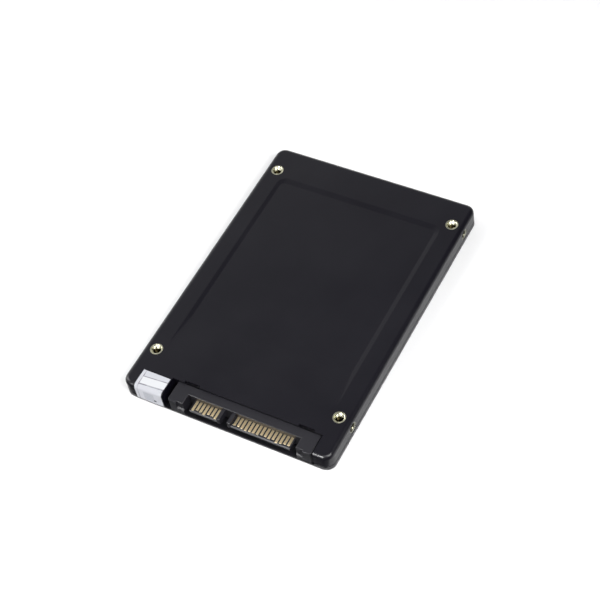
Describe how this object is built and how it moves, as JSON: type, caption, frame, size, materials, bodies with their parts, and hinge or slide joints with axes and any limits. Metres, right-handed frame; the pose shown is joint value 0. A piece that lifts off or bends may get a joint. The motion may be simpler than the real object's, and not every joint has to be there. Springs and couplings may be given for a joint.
{
  "type": "solid state drive",
  "caption": "Slim rectangular storage drive: two-part plastic case with a shallow sunk panel, threaded corner nuts and an edge plug connector.",
  "frame": {"origin": "centre of the label-side face, which the drive lies on", "axes": "+Z towards the face with the four threaded nuts; +X across the width, with the signal contacts on the -X side; +Y away from the connector end"},
  "size_m": [0.0698, 0.1003, 0.007],
  "materials": {
    "case_plastic": "fine satin texture",
    "cover_plastic": "fine satin texture",
    "connector_plastic": "smooth moulded",
    "nut_brass": "turned, bright",
    "contact_gold": "gold plated",
    "tin_metal": "tin plated",
    "screw_steel": "zinc plated",
    "seal_paper": "printed film, white",
    "label_film": "printed film, pale grey",
    "board_laminate": "green solder mask on glass laminate",
    "chip_black": "moulded epoxy",
    "pad_silicone": "soft grey-blue silicone",
    "coil_ferrite": "ferrite",
    "tantalum_body": "yellow moulded epoxy",
    "ceramic_tan": "fired ceramic with tinned ends",
    "resistor_black": "glazed ceramic with tinned ends",
    "crystal_metal": "nickel lid"
  },
  "bodies": {
    "root": {"base_case": "case_plastic", "label_cover": "cover_plastic", "corner_nuts": "nut_brass", "corner_seal": "seal_paper", "product_label": "label_film", "sata_housing": "connector_plastic", "signal_contacts": "contact_gold", "power_contacts": "contact_gold", "board_locks": "tin_metal", "circuit_board": "board_laminate", "board_screws": "screw_steel", "controller_chip": "chip_black", "thermal_pad": "pad_silicone", "memory_chip": "chip_black", "flash_chip_1": "chip_black", "flash_chip_2": "chip_black", "flash_chip_3": "chip_black", "flash_chip_4": "chip_black", "power_manager_chip": "chip_black", "load_switch_chip": "chip_black", "power_coils": "coil_ferrite", "bulk_capacitors": "tantalum_body", "surge_diode": "chip_black", "ferrite_bead": "coil_ferrite", "firmware_chip": "chip_black", "clock_crystal": "crystal_metal", "ceramic_capacitors": "ceramic_tan", "chip_resistors": "resistor_black", "underside_capacitors": "ceramic_tan"}
  },
  "joints": []
}
